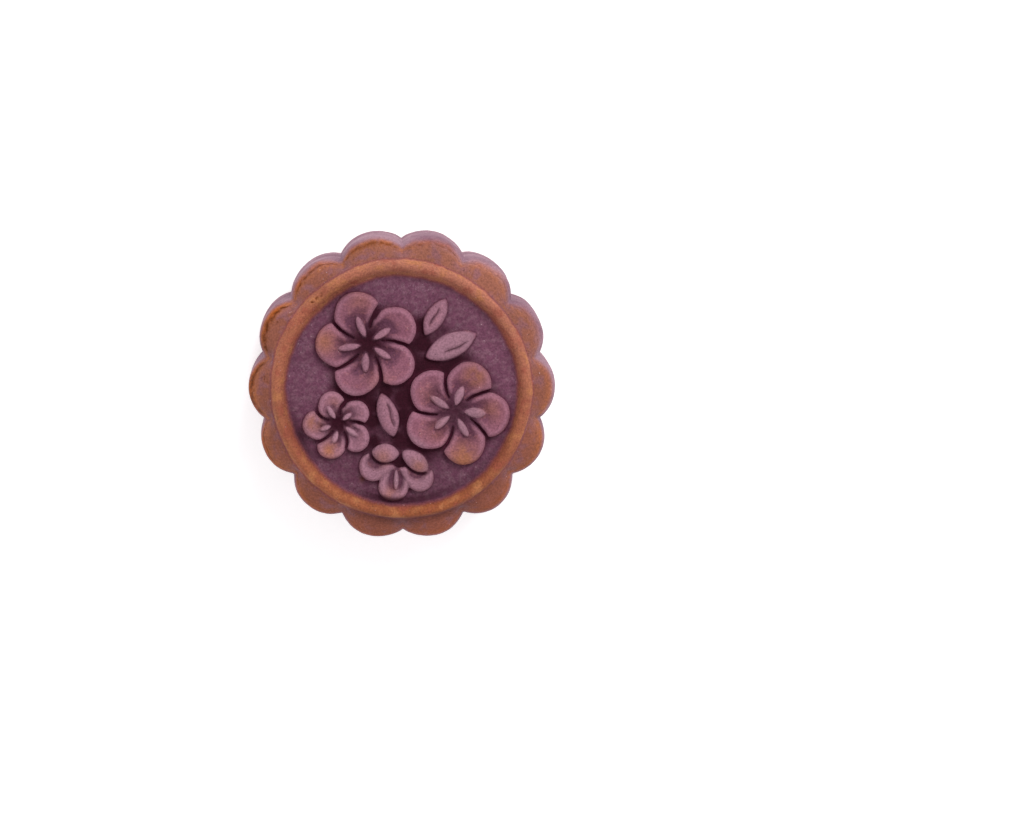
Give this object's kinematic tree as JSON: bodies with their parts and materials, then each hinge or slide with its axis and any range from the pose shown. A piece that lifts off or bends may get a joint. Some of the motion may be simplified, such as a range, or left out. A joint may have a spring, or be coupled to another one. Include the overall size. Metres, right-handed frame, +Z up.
{
  "type": "mooncake",
  "caption": "Round baked mooncake with a fluted edge, a raised ring on top and pressed flowers, a bud and leaves on the sunken floor inside the ring.",
  "frame": {"origin": "centre of the flat base", "axes": "+Z up towards the pressed pattern; +Y through a notch between two lobes, towards the two pressed leaves that lie side by side; +X to the right as the pattern is seen from above with +Y at the top"},
  "size_m": [0.0498, 0.049, 0.026],
  "materials": {
    "baked_crust": "matte baked pastry skin, mauve, browned to orange-brown on the ring and the lobes' edges"
  },
  "bodies": {
    "root": {"mooncake": "baked_crust"}
  },
  "joints": []
}
